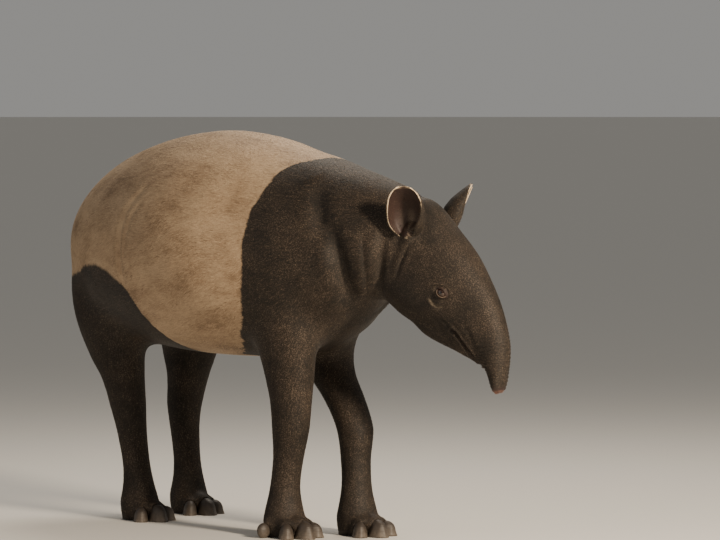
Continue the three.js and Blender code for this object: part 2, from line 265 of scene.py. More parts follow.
def node_copy(name: str, grow: float = 0.0) -> bmesh.types.BMesh:
    """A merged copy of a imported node's mesh, moved out along its normals by a little.

    Args:
        name: the node.
        grow: how far it is moved out.

    Returns:
        The copy, as a bmesh.
    """
    copy = bmesh.new()
    copy.from_mesh(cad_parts[name].data)
    bmesh.ops.remove_doubles(copy, verts=copy.verts[:], dist=0.01 * MM)
    copy.normal_update()
    for vert in copy.verts:
        vert.co += vert.normal * grow
    return copy


def mesh_of(shape: bmesh.types.BMesh, name: str) -> bpy.types.Mesh:
    """The mesh made from a bmesh, which is then freed.

    Args:
        shape: the bmesh.
        name: the mesh's name.

    Returns:
        The mesh.
    """
    mesh = bpy.data.meshes.new(name)
    shape.to_mesh(mesh)
    shape.free()
    return mesh


# The straightened body


@dataclass(frozen=True)
class NeckBend:
    """The bend that turns the head to the animal's left."""

    start: float = 0.21125
    length: float = 0.230
    angle: float = math.radians(15)
    poll: tuple[float, float] = (0.55325, 0.893)

    @property
    def radius(self) -> float:
        """Distance from the body's middle plane to the axis of the bend."""
        return self.length / self.angle

    def straight(self, points: Array) -> Array:
        """Points of the frame, as they lie when the neck is straight.

        Args:
            points: one row each.

        Returns:
            The new points.
        """
        x, arm = points[:, 0] - self.start, self.radius - points[:, 1]
        turn = np.clip(np.arctan2(x, arm), 0, self.angle)
        along = self.start + self.radius * turn + x * np.cos(turn) - arm * np.sin(turn)
        aside = self.radius - arm * np.cos(turn) - x * np.sin(turn)
        return np.stack([along, aside, points[:, 2]], 1)

    def bent(self, points: Array) -> Array:
        """Points of the straightened body, carried into the frame.

        Args:
            points: one row each.

        Returns:
            The new points.
        """
        turn = np.clip((points[:, 0] - self.start) / self.radius, 0, self.angle)
        rest = points[:, 0] - self.start - self.radius * turn
        arm = self.radius - points[:, 1]
        x = self.start + rest * np.cos(turn) + arm * np.sin(turn)
        y = self.radius - arm * np.cos(turn) + rest * np.sin(turn)
        return np.stack([x, y, points[:, 2]], 1)

    def turned(self, vectors: Array, at: Array) -> Array:
        """Directions on the straightened body, turned as the bend turns them at straight points.

        Args:
            vectors: one row each.
            at: the straight points that they belong to.

        Returns:
            The turned directions.
        """
        turn = np.clip((at[:, 0] - self.start) / self.radius, 0, self.angle)
        x = vectors[:, 0] * np.cos(turn) - vectors[:, 1] * np.sin(turn)
        y = vectors[:, 0] * np.sin(turn) + vectors[:, 1] * np.cos(turn)
        return np.stack([x, y, vectors[:, 2]], 1)

    def from_poll(self, points: Array) -> Array:
        """Straight points as measured from the poll, in millimetres: ahead, aside (either side) and up."""
        ahead = (points[:, 0] - self.poll[0]) / MM
        return np.stack([ahead, np.abs(points[:, 1]) / MM, (points[:, 2] - self.poll[1]) / MM], 1)

    def head_point(self, ahead: float, aside: float, up: float) -> Vector:
        """A point of the head, given in millimetres from the poll, in the frame."""
        place = [self.poll[0] + ahead * MM, aside * MM, self.poll[1] + up * MM]
        return Vector(self.bent(np.array([place]))[0])


NECK = NeckBend()


class Side(Enum):
    """A side of the animal, and the sign of Y there."""

    LEFT = 1
    RIGHT = -1

    @property
    def word(self) -> str:
        """The side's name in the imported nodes."""
        return self.name.lower()


# Material tools


def linear(colour: str) -> tuple[float, float, float, float]:
    """An sRGB hex colour, as the linear values that the shaders take.

    Args:
        colour: the colour, such as #2a211a.

    Returns:
        Red, green, blue and an alpha of 1.
    """
    channels = [int(colour[i : i + 2], 16) / 255 for i in (1, 3, 5)]
    red, green, blue = (c / 12.92 if c <= 0.04045 else ((c + 0.055) / 1.055) ** 2.4 for c in channels)
    return red, green, blue, 1.0


COLOURS = {"data_type": "RGBA"}
SMOOTH = {"interpolation_type": "SMOOTHSTEP"}


def fill(tree: bpy.types.NodeTree, node: bpy.types.Node, **inputs) -> None:
    """Sets and links the sockets of a node.

    Args:
        tree: the material's node tree.
        node: the node.
        inputs: for each socket, by its name with _ for a space or by its number after "in",
            a socket to link or a value to set.
    """
    for name, value in inputs.items():
        socket = node.inputs[int(name[2:]) if name[2:].isdigit() else name.replace("_", " ")]
        if isinstance(value, bpy.types.NodeSocket):
            tree.links.new(value, socket)
        else:
            socket.default_value = value


def add_node(tree: bpy.types.NodeTree, kind: str, settings: dict | None = None, **inputs) -> bpy.types.Node:
    """Adds a node to a tree with its settings and what goes into its sockets.

    Args:
        tree: the material's node tree.
        kind: the node's type name without "ShaderNode".
        settings: values of the node's own options.
        inputs: what goes into its sockets, as for fill.

    Returns:
        The node.
    """
    node = tree.nodes.new(f"ShaderNode{kind}")
    for option, value in (settings or {}).items():
        setattr(node, option, value)
    fill(tree, node, **inputs)
    return node


def new_material(name: str) -> tuple[bpy.types.Material, bpy.types.NodeTree, bpy.types.Node]:
    """A material with an empty surface shader, its node tree and its shader node.

    Args:
        name: the material's name.

    Returns:
        The material, its node tree and its shader.
    """
    material = bpy.data.materials.new(name)
    material.use_nodes = True
    tree = material.node_tree
    return material, tree, tree.nodes["Principled BSDF"]


def curve_points(node: bpy.types.Node, points: Iterable[tuple[float, float]]) -> None:
    """Lays the curve of a float curve node through the points.

    Args:
        node: the float curve node.
        points: across and up, each 0 to 1.
    """
    points = list(points)
    curve = node.mapping.curves[0]
    while len(curve.points) < len(points):
        curve.points.new(0.5, 0.5)
    for target, (x, y) in zip(curve.points, points):
        target.location = (x, y)
    node.mapping.update()


# Finishes


@dataclass(frozen=True)
class CoatFinish:
    """Short glossless hair over thick hide: near black, with a pale saddle from the shoulders to the rump.

    The saddle's edges are given in metres. The front one is its X at each height Z, the rear one is the
    height below which the haunch is dark, at each X. Noise of about 45 mm shakes both, by `shake`, and
    `middle` is the mean of that shake. The left side's rear edge lies further back, as its leg does.
    Smudges are about 77 mm across. Flecks are 2.6 mm, coarser than real ones so that they show. On the dark
    coat they are partly the pale tips of hairs and partly painted glints, highlights of the hair put into the
    colour.
    """

    pale: str = "#b59b7c"
    pale_shade: str = "#876e54"
    stain: str = "#5c4833"
    dark: str = "#2a211a"
    dark_shade: str = "#13100c"
    # Colour of the flecks on the dark coat: pale hair tips, and also painted glints.
    dark_tip_and_glint: str = "#6a5c4d"
    # Dark bare skin; inside the ears it is also a painted shade.
    bare_hide_and_ear_shade: str = "#2a1d1a"
    moist_hide: str = "#8a6152"
    rim: str = "#dcc6a8"
    front_edge: tuple[tuple[float, float], ...] = (
        (0.40, -0.12), (0.46, -0.03), (0.49, 0.055), (0.56, 0.134), (0.64, 0.172), (0.72, 0.184),
        (0.79, 0.183), (0.89, 0.188), (0.935, 0.195), (0.955, 0.210), (0.972, 0.245), (1.0, 0.270),
    )
    rear_edge: tuple[tuple[float, float], ...] = (
        (-0.83, 0.640), (-0.60, 0.655), (-0.524, 0.674), (-0.38, 0.677), (-0.323, 0.655), (-0.271, 0.631),
        (-0.240, 0.575), (-0.226, 0.480), (-0.215, 0.10),
    )
    reach: float = 1.1
    rear_reach: float = 0.85
    left_shift: float = 0.07
    shake: float = 0.034
    middle: float = 0.017
    front_softness: float = 0.004
    rear_softness: float = 0.006
    edge_scale: float = 22.0
    smudge_scale: float = 13.0
    smudge_slant: float = math.radians(24)
    fleck_scale: float = 380.0
    pore_scale: float = 420.0
    strand_scale: tuple[float, float, float] = (60.0, 700.0, 700.0)
    hair_roughness: float = 0.62
    hair_specular: float = 0.24
    hair_sheen: float = 0.04
    hide_specular: float = 0.35

    def saddle(self, tree: bpy.types.NodeTree, place: bpy.types.NodeSocket) -> bpy.types.NodeSocket:
        """How far a point lies in the pale saddle, 0 to 1.

        Args:
            tree: the material's node tree.
            place: the socket with the point's place.

        Returns:
            The socket with the share.
        """
        wander = add_node(tree, "TexNoise", Vector=place, Scale=self.edge_scale, Detail=6.0, Roughness=0.72)
        shaken = add_node(tree, "VectorMath", {"operation": "MULTIPLY_ADD"}, in0=wander.outputs["Color"],
                          in1=(self.shake, 0.0, self.shake), in2=place)
        axes = add_node(tree, "SeparateXYZ", Vector=shaken.outputs[0])
        x, z = axes.outputs["X"], axes.outputs["Z"]
        height = add_node(tree, "Math", {"operation": "MULTIPLY_ADD"}, in0=z, in1=1 / self.reach,
                          in2=-self.middle / self.reach)
        front = add_node(tree, "FloatCurve", Value=height.outputs[0])
        curve_points(front, [(a / self.reach, (b + 0.5)) for a, b in self.front_edge])
        ahead = add_node(tree, "Math", {"operation": "ADD"}, in0=x, in1=0.5 - self.middle)
        before = add_node(tree, "Math", {"operation": "SUBTRACT"}, in0=front.outputs[0], in1=ahead.outputs[0])
        behind_front = add_node(tree, "MapRange", SMOOTH,
                                in0=before.outputs[0], in1=-self.front_softness, in2=self.front_softness)
        on_right = self.rear_reach - self.middle
        back_leg = add_node(tree, "MapRange", SMOOTH, in0=axes.outputs["Y"], in1=-0.07, in2=0.07,
                            in3=on_right, in4=on_right + self.left_shift)
        along = add_node(tree, "Math", {"operation": "ADD"}, in0=x, in1=back_leg.outputs[0])
        rear = add_node(tree, "FloatCurve", Value=along.outputs[0])
        curve_points(rear, [(a + self.rear_reach, b) for a, b in self.rear_edge])
        over = add_node(tree, "Math", {"operation": "SUBTRACT"}, in0=z, in1=rear.outputs[0])
        above_rear = add_node(tree, "MapRange", SMOOTH,
                              in0=over.outputs[0], in1=self.middle - self.rear_softness,
                              in2=self.middle + self.rear_softness)
        share = add_node(tree, "Math", {"operation": "MULTIPLY"}, in0=behind_front.outputs[0],
                         in1=above_rear.outputs[0])
        return share.outputs[0]

    def colour(self, tree: bpy.types.NodeTree, place: bpy.types.NodeSocket) -> bpy.types.NodeSocket:
        """The colour of the hair at a point, alike on the skin and on the coat over it.

        Args:
            tree: the material's node tree.
            place: the socket with the point's place.

        Returns:
            The socket with the colour.
        """
        drawn = add_node(tree, "Mapping", Vector=place, Rotation=(0.0, self.smudge_slant, 0.0),
                         Scale=(0.45, 1.0, 1.0))
        smudges = add_node(tree, "TexNoise", Vector=drawn.outputs[0], Scale=self.smudge_scale, Detail=6.0,
                           Roughness=0.68)
        flecks = add_node(tree, "TexNoise", Vector=place, Scale=self.fleck_scale, Detail=2.0)
        tone = add_node(tree, "Attribute", {"attribute_name": "tone"})
        level = add_node(tree, "Math", {"operation": "ADD"}, in0=smudges.outputs["Fac"],
                         in1=tone.outputs["Fac"])
        light = add_node(tree, "MapRange", in0=level.outputs[0], in1=0.30, in2=0.80)
        even = add_node(tree, "Math", {"operation": "MULTIPLY_ADD"}, in0=tone.outputs["Fac"], in1=0.75,
                        in2=smudges.outputs["Fac"])
        pale_light = add_node(tree, "MapRange", in0=even.outputs[0], in1=0.34, in2=0.66)
        # Flecks on the dark coat: partly pale tips of hairs, partly painted glints that stand in for
        # highlights on the hair.
        glints = add_node(tree, "MapRange", in0=flecks.outputs["Fac"], in1=0.50, in2=0.70)
        tip_and_glint_share = add_node(tree, "Math", {"operation": "MULTIPLY"}, in0=glints.outputs[0],
                          in1=light.outputs[0])
        dull = add_node(tree, "MapRange", in0=flecks.outputs["Fac"], in1=0.46, in2=0.28, in4=0.35)
        cloud = add_node(tree, "MapRange", in0=smudges.outputs["Fac"], in1=0.43, in2=0.33, in4=0.28)
        marks = add_node(tree, "MapRange", in0=tone.outputs["Fac"], in1=-0.42, in2=-0.66, in4=0.75)
        stain = add_node(tree, "Math", {"operation": "MAXIMUM"}, in0=cloud.outputs[0], in1=marks.outputs[0])
        pale, dark = linear(self.pale_shade), linear(self.dark_shade)
        for share, over in ((pale_light, self.pale), (dull, self.stain), (stain, self.stain)):
            pale = add_node(tree, "Mix", COLOURS, in0=share.outputs[0], in6=pale, in7=linear(over)).outputs[2]
        for share, over in ((light, self.dark), (tip_and_glint_share, self.dark_tip_and_glint)):
            dark = add_node(tree, "Mix", COLOURS, in0=share.outputs[0], in6=dark, in7=linear(over)).outputs[2]
        coat = add_node(tree, "Mix", COLOURS, in0=self.saddle(tree, place),
                        in6=dark, in7=pale)
        return coat.outputs[2]

    def rimmed(self, tree: bpy.types.NodeTree, colour: bpy.types.NodeSocket) -> bpy.types.NodeSocket:
        """The colour, with the pale rims of ears and lids, and the painted highlights on the folds inside the
        ears, over it.

        Args:
            tree: the material's node tree.
            colour: the socket with the colour under the rims.

        Returns:
            The socket with the colour.
        """
        rim = add_node(tree, "Attribute", {"attribute_name": "rim"})
        return add_node(tree, "Mix", COLOURS, in0=rim.outputs["Fac"],
                        in6=colour, in7=linear(self.rim)).outputs[2]

    def hair(self) -> bpy.types.Material:
        """Keratin hair in tufts.

        Returns:
            The material.
        """
        # Grown hair, dry and fine: dull all over, with a faint sheen along the edges of the body.
        material, tree, shader = new_material("keratin_hair")
        place = add_node(tree, "TexCoord").outputs["Object"]
        fill(tree, shader, Base_Color=self.rimmed(tree, self.colour(tree, place)),
             Roughness=self.hair_roughness, Specular_IOR_Level=self.hair_specular,
             Sheen_Weight=self.hair_sheen)
        return material

    def hide(self) -> bpy.types.Material:
        """Thick hide under the hair, bare on the tip of the muzzle, the lids and inside the ears, where its
        dark colour is also a painted shade.

        Returns:
            The material.
        """
        # Haired skin takes the hair's colour and a fine grain along the body. Where it is bare it is
        # smoother, and on the moist tip it is mottled pink.
        material, tree, shader = new_material("haired_hide")
        place = add_node(tree, "TexCoord").outputs["Object"]
        bare = add_node(tree, "Attribute", {"attribute_name": "bare"})
        pores = add_node(tree, "TexNoise", Vector=place, Scale=self.pore_scale, Detail=3.0)
        moist = add_node(tree, "MapRange", in0=bare.outputs["Fac"], in1=0.6, in2=1.0)
        mottled = add_node(tree, "Math", {"operation": "MULTIPLY"}, in0=moist.outputs[0],
                           in1=pores.outputs["Fac"])
        # The bare hide is dark skin; inside the ears this dark colour is also a painted shade.
        skin = add_node(tree, "Mix", COLOURS, in0=mottled.outputs[0],
                        in6=linear(self.bare_hide_and_ear_shade), in7=linear(self.moist_hide))
        showing = add_node(tree, "MapRange", in0=bare.outputs["Fac"], in1=0.0, in2=0.6)
        colour = add_node(tree, "Mix", COLOURS, in0=showing.outputs[0],
                          in6=self.colour(tree, place), in7=skin.outputs[2])
        lie = add_node(tree, "Mapping", Vector=place, Scale=self.strand_scale)
        strands = add_node(tree, "TexNoise", Vector=lie.outputs[0], Scale=1.0, Detail=2.0)
        relief = add_node(tree, "Bump", Height=strands.outputs["Fac"], Strength=0.35, Distance=0.6 * MM)
        gloss = add_node(tree, "MapRange", in0=bare.outputs["Fac"], in3=0.75, in4=0.5)
        fill(tree, shader, Base_Color=self.rimmed(tree, colour.outputs[2]), Normal=relief.outputs[0],
             Roughness=gloss.outputs[0], Specular_IOR_Level=self.hide_specular)
        return material


@dataclass(frozen=True)
class EyeFinish:
    """A wet eye: a dark brown iris round a wide pupil, under a clear cornea."""

    iris: str = "#241309"
    pupil: str = "#050303"
    white: str = "#3b2a22"
    roughness: float = 0.12
    cornea_ior: float = 1.376
    tear_roughness: float = 0.02

    def material(self) -> bpy.types.Material:
        """The eyeball's own material.

        Returns:
            The material.
        """
        # A cornea under tears: the lamps show as small sharp glints over a dark iris.
        material, tree, shader = new_material("wet_eyeball")
        ring = add_node(tree, "Attribute", {"attribute_name": "ring"})
        inner = add_node(tree, "MapRange", SMOOTH, in0=ring.outputs["Fac"],
                         in1=0.30, in2=0.40)
        outer = add_node(tree, "MapRange", SMOOTH, in0=ring.outputs["Fac"],
                         in1=0.80, in2=0.92)
        iris = add_node(tree, "Mix", COLOURS, in0=inner.outputs[0],
                        in6=linear(self.pupil), in7=linear(self.iris))
        ball = add_node(tree, "Mix", COLOURS, in0=outer.outputs[0],
                        in6=iris.outputs[2], in7=linear(self.white))
        fill(tree, shader, Base_Color=ball.outputs[2], Roughness=self.roughness, IOR=self.cornea_ior,
             Coat_Weight=1.0, Coat_Roughness=self.tear_roughness)
        return material


@dataclass(frozen=True)
class HoofFinish:
    """Hoof horn: dark grey-brown keratin, a little worn and pale towards the ground."""

    horn: str = "#2f2822"
    worn: str = "#6d6256"
    ring_gap: float = 5 * MM
    worn_below: float = 30 * MM
    waves_per_scale: float = 3.2
    grain_scale: float = 160.0
    roughness: float = 0.58

    def material(self) -> bpy.types.Material:
        """Hoof horn with its growth rings.

        Returns:
            The material.
        """
        # Grown keratin, satin, ringed every 5 mm, and scuffed paler where it meets the ground.
        material, tree, shader = new_material("hoof_horn")
        place = add_node(tree, "TexCoord").outputs["Object"]
        grain = add_node(tree, "TexNoise", Vector=place, Scale=self.grain_scale, Detail=4.0)
        rings = add_node(tree, "TexWave", {"bands_direction": "Z"}, Vector=place,
                         Scale=1 / self.ring_gap / self.waves_per_scale, Distortion=2.0, Detail=2.0,
                         Detail_Scale=1.5)
        height = add_node(tree, "SeparateXYZ", Vector=place)
        low = add_node(tree, "MapRange", in0=height.outputs["Z"], in1=self.worn_below, in2=0.0)
        wear = add_node(tree, "Math", {"operation": "MULTIPLY"}, in0=low.outputs[0], in1=grain.outputs["Fac"])
        colour = add_node(tree, "Mix", COLOURS, in0=wear.outputs[0],
                          in6=linear(self.horn), in7=linear(self.worn))
        relief = add_node(tree, "Bump", Height=rings.outputs["Fac"], Strength=0.35, Distance=0.5 * MM)
        fill(tree, shader, Base_Color=colour.outputs[2], Normal=relief.outputs[0], Roughness=self.roughness)
        return material


@dataclass(frozen=True)
class FloorFinish:
    """A plain pale studio floor."""

    paint: str = "#cfccc6"
    roughness: float = 0.85

    def material(self) -> bpy.types.Material:
        """Matt painted board.

        Returns:
            The material.
        """
        # Rolled paint: no gloss, so that only the soft shadow shows on it.
        material, tree, shader = new_material("matt_floor_paint")
        fill(tree, shader, Base_Color=linear(self.paint), Roughness=self.roughness)
        return material


# The studio


@dataclass(frozen=True)
class PhotoCamera:
    """The photograph's view. The target is the point of the frame that shows at the target pixel."""

    azimuth: float = 55.0
    elevation: float = 2.5
    distance: float = 13.0
    target: tuple[float, float, float] = (-0.1887, 0.0, 0.6)
    target_pixel: tuple[float, float] = (234.0, 297.0)
    pixels_per_metre: float = 380.0
    image: tuple[float, float] = (720.0, 540.0)
    sensor: float = 36.0
    sees_to: float = 400.0

    def axes(self) -> tuple[Vector, Vector, Vector]:
        """The camera's right, its up, and the way back from the target to it.

        Returns:
            Three directions, each one long.
        """
        turn, rise = math.radians(self.azimuth), math.radians(self.elevation)
        right = Vector((math.cos(turn), math.sin(turn), 0))
        back = Vector((math.sin(turn) * math.cos(rise), -math.cos(turn) * math.cos(rise), math.sin(rise)))
        return right, back.cross(right), back

    def build(self) -> None:
        """Makes the camera and gives it to the scene."""
        right, up, back = self.axes()
        middle = Vector(self.target)
        middle += right * ((self.image[0] / 2 - self.target_pixel[0]) / self.pixels_per_metre)
        middle -= up * ((self.image[1] / 2 - self.target_pixel[1]) / self.pixels_per_metre)
        place = Vector(self.target) + back * self.distance
        data = bpy.data.cameras.new("photo_camera")
        data.sensor_width = self.sensor
        data.lens = self.sensor * self.pixels_per_metre * self.distance / self.image[0]
        data.clip_end = self.sees_to
        bpy.context.scene.camera = aimed(data, place, place - middle)


@dataclass(frozen=True)
class Lamp:
    """A soft box: the way it stands from the animal along the camera's right, back and up, and its light."""

    name: str
    way: tuple[float, float, float]
    distance: float
    size: float
    power: float
    colour: str


@dataclass(frozen=True)
class Studio:
    """A pale floor, a dim even surround and a few soft boxes."""

    camera: PhotoCamera = PhotoCamera()
    floor_radius: float = 150.0
    surround: str = "#dcdad6"
    surround_strength: float = 0.40
    aim: tuple[float, float, float] = (0.0, 0.0, 0.6)
    lamps: tuple[Lamp, ...] = (
        Lamp("key", (0.56, 0.83, 0.32), 4.8, 0.6, 430.0, "#ffecd2"),
        Lamp("fill", (-0.95, 0.6, 0.30), 5.0, 3.0, 26.0, "#fff3e6"),
        Lamp("top", (0.1, -0.65, 1.0), 3.6, 1.4, 90.0, "#fff3e2"),
    )

    def build(self) -> None:
        """Makes the camera, the floor, the surround and the lamps."""
        self.camera.build()
        shape = bmesh.new()
        bmesh.ops.create_circle(shape, cap_ends=True, segments=96, radius=self.floor_radius)
        floor = object_of(mesh_of(shape, "floor"), "floor")
        floor.data.materials.append(FloorFinish().material())
        world = bpy.context.scene.world or bpy.data.worlds.new("studio")
        bpy.context.scene.world = world
        world.use_nodes = True
        surround = world.node_tree.nodes["Background"]
        surround.inputs["Color"].default_value = linear(self.surround)
        surround.inputs["Strength"].default_value = self.surround_strength
        for lamp in self.lamps:
            self.hang(lamp)

    def hang(self, lamp: Lamp) -> None:
        """Adds one soft box that looks at the animal.

        Args:
            lamp: the soft box.
        """
        right, _, back = self.camera.axes()
        aside, ahead, high = lamp.way
        way = right * aside + Vector((back.x, back.y, 0)).normalized() * ahead + Vector((0, 0, 1)) * high
        data = bpy.data.lights.new(lamp.name, "AREA")
        data.shape, data.size, data.energy = "DISK", lamp.size, lamp.power
        data.color = linear(lamp.colour)[:3]
        aimed(data, Vector(self.aim) + way.normalized() * lamp.distance, way)


# Skin


@dataclass(frozen=True)
class Fold:
    """A crease in the hide: its way in straight side view, its depth and its width, in millimetres.

    The roll beside it is given by its height and its width against those of the crease.
    """

    path: tuple[tuple[float, float], ...]
    depth: float
    width: float
    roll: float = 0.35
    roll_width: float = 2.2
    fading: float = 0.8

    def sink(self, flat: Array) -> Array:
        """How deep the fold is at points of the side view; it runs out softly at both ends.

        Args:
            flat: the points, in millimetres.

        Returns:
            The depth at each, in millimetres.
        """
        away, along = nearest_on_way(flat, np.array(self.path, float))
        fading = np.sin(math.pi * np.clip(along, 0.001, 0.999)) ** self.fading
        rolls = self.roll * bump(away, self.roll_width * self.width)
        return self.depth * fading * (bump(away, self.width) - rolls)


@dataclass
class Skin:
    """One hide over every node of flesh, a coat's depth inside the solids.

    The eye, the muzzle and how far the finer squares reach round them are in millimetres from the poll,
    and so is `shift`, which carries the folds' ways to the body. What is kept of the softening on the
    head, legs, tail and feet is a share.
    """

    voxel: float = 8 * MM
    coat_depth: float = 2.5 * MM
    flesh: tuple[str, ...] = (
        "torso", "neck", "head", "jaw", "snout", "tail",
        "arm_left", "forearm_left", "forefoot_left", "thigh_left", "shank_left", "hindfoot_left",
        "arm_right", "forearm_right", "forefoot_right", "thigh_right", "shank_right", "hindfoot_right",
    )
    eye_place: tuple[float, float] = (122.0, -252.0)
    most_triangles: int = 192_000
    folds: tuple[Fold, ...] = (
        Fold(((-30, 900), (-71, 855), (-89, 825), (-94, 779), (-86, 700), (-70, 630)), 7.0, 13.0),
        Fold(((-20, 865), (-50, 815), (-60, 760), (-54, 690)), 3.0, 9.0),
        Fold(((657, 790), (656, 732), (648, 681), (624, 626)), 3.0, 6.0),
        Fold(((706, 800), (696, 745), (685, 702), (672, 660), (640, 600)), 13.0, 12.0),
        Fold(((490, 925), (518, 880), (541, 835), (556, 785), (562, 740)), 16.0, 24.0, roll=0.2),
        Fold(((572, 820), (588, 768), (597, 710), (592, 645), (565, 575)), 28.0, 22.0, roll=0.22),
        Fold(((470, 700), (478, 640), (474, 585), (455, 540)), 6.0, 30.0),
        Fold(((790, 776), (764, 747), (746, 712), (730, 670)), 5.0, 8.0, roll=0.5),
    )
    shift: float = -188.75
    softening: float = 0.55
    head_kept: float = 0.82
    leg_kept: float = 0.80
    tail_kept: float = 0.8
    foot_kept: float = 0.6
    passes: int = 46
    eye_reach: float = 40.0
    lid_reach: float = 25.0
    beside: float = 40.0
    muzzle: tuple[float, float] = (120.0, -330.0)
    least_depth: float = 0.35
    sole_height: float = 0.4 * MM

    def fuse(self) -> bpy.types.Mesh:
        """One closed surface round all the flesh.

        Returns:
            The fused mesh.
        """
        whole = bmesh.new()
        for name in self.flesh:
            part = mesh_of(node_copy(name, grow=0.4 * MM), name)
            whole.from_mesh(part)
            bpy.data.meshes.remove(part)
        return voxelled(mesh_of(whole, "flesh"), self.voxel)

    def smooth(self, mesh: bpy.types.Mesh) -> None:
        """Takes the facets out, most on the trunk and least on the head and the feet.

        Args:
            mesh: the fused flesh, which is changed.
        """
        points = points_of(mesh)
        straight = NECK.straight(points)
        head = ramp(straight[:, 0], NECK.poll[0] - 0.13, NECK.poll[0] - 0.03)
        leg = ramp(points[:, 2], 0.50, 0.40) * (1 - head)
        tail = ramp(points[:, 0], -0.755, -0.775)
        foot = ramp(points[:, 2], 0.11, 0.06)
        share = self.softening * (1 - self.head_kept * head) * (1 - self.leg_kept * leg)
        share = share * (1 - self.tail_kept * tail) * (1 - self.foot_kept * foot)
        put_points(mesh, relaxed(points, edges_of(mesh), share, self.passes))

    def refine(self, mesh: bpy.types.Mesh, chosen: Callable[[Array], Array]) -> None:
        """Halves the squares of the surface where a test on straight points says so.

        Args:
            mesh: the surface, which is changed.
            chosen: the test.
        """
        pick = chosen(NECK.straight(points_of(mesh)))
        shape = bmesh.new()
        shape.from_mesh(mesh)
        edges = [e for e in shape.edges if pick[e.verts[0].index] and pick[e.verts[1].index]]
        bmesh.ops.subdivide_edges(shape, edges=edges, cuts=1, use_grid_fill=True)
        bmesh.ops.triangulate(shape, faces=[f for f in shape.faces if len(f.verts) > 4])
        shape.to_mesh(mesh)
        shape.free()
        points = points_of(mesh)
        near = chosen(NECK.straight(points)).astype(float)
        put_points(mesh, relaxed(points, edges_of(mesh), 0.5 * near, 3))

    def near_features(self, straight: Array) -> Array:
        """Whether straight points lie by an eye, along the mouth or on the muzzle.

        Args:
            straight: one row each.

        Returns:
            True or false for each.
        """
        ahead, aside, up = NECK.from_poll(straight).T
        eye = np.hypot(ahead - self.eye_place[0], up - self.eye_place[1]) < self.eye_reach
        muzzle = (up < self.muzzle[1]) & (ahead > self.muzzle[0])
        return (eye & (aside > self.beside)) | muzzle

    def near_lids(self, straight: Array) -> Array:
        """Whether straight points lie on the lids.

        Args:
            straight: one row each.

        Returns:
            True or false for each.
        """
        ahead, aside, up = NECK.from_poll(straight).T
        away = np.hypot(ahead - self.eye_place[0], up - self.eye_place[1])
        return (away < self.lid_reach) & (aside > self.beside)

    def inset(self, mesh: bpy.types.Mesh) -> None:
        """Draws the surface in by the depth of the coat, but leaves the soles on the floor.

        Args:
            mesh: the surface, which is changed.
        """
        points, normals = points_of(mesh), normals_of(mesh)
        depth = self.coat_depth * (self.least_depth + (1 - self.least_depth) * ramp(points[:, 2], 0.05, 0.16))
        points -= normals * depth[:, None]
        sole = (points[:, 2] < 0.016) & (normals[:, 2] < -0.3)
        points[sole, 2] = self.sole_height
        points[:, 2] = np.maximum(points[:, 2], self.sole_height)
        put_points(mesh, points)

    def crease(self, mesh: bpy.types.Mesh) -> None:
        """Sinks the folds of the hide into the surface, each with a soft roll beside it.

        Args:
            mesh: the surface, which is changed.
        """
        points, normals = points_of(mesh), normals_of(mesh)
        straight = NECK.straight(points)
        flat = straight[:, [0, 2]] / MM - np.array([self.shift, 0.0])
        depth = np.zeros(len(points))
        for fold in self.folds:
            depth += fold.sink(flat) * ramp(np.abs(normals[:, 1]), 0.15, 0.5)
        put_points(mesh, points - normals * (depth * MM)[:, None])

    def thinned(self, mesh: bpy.types.Mesh) -> bpy.types.Mesh:
        """The surface with the most triangles it may have, fewest where it is flattest.

        Args:
            mesh: the finished surface.

        Returns:
            The thinned mesh.
        """
        mesh.calc_loop_triangles()
        piece = object_of(mesh, "thinning")
        thin = piece.modifiers.new("thin", "DECIMATE")
        thin.ratio = min(1.0, self.most_triangles / len(mesh.loop_triangles))
        return baked(piece, "hide")

    def build(self) -> bpy.types.Object:
        """Makes the whole hide.

        Returns:
            The skin's object.
        """
        mesh = self.fuse()
        self.smooth(mesh)
        self.refine(mesh, lambda p: p[:, 0] > NECK.poll[0] - 0.10)
        self.refine(mesh, self.near_features)
        self.refine(mesh, self.near_lids)
        self.inset(mesh)
        for side in Side:
            mesh = combined(mesh, Ear(side).cup())
        self.crease(mesh)
        Face().model(mesh)
        mesh = self.thinned(mesh)
        mesh.shade_smooth()
        mesh.materials.clear()
        mesh.materials.append(CoatFinish().hide())
        skin = object_of(mesh, "skin")
        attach(skin, BODY)
        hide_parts(*self.flesh, "ear_left", "ear_right")
        return skin


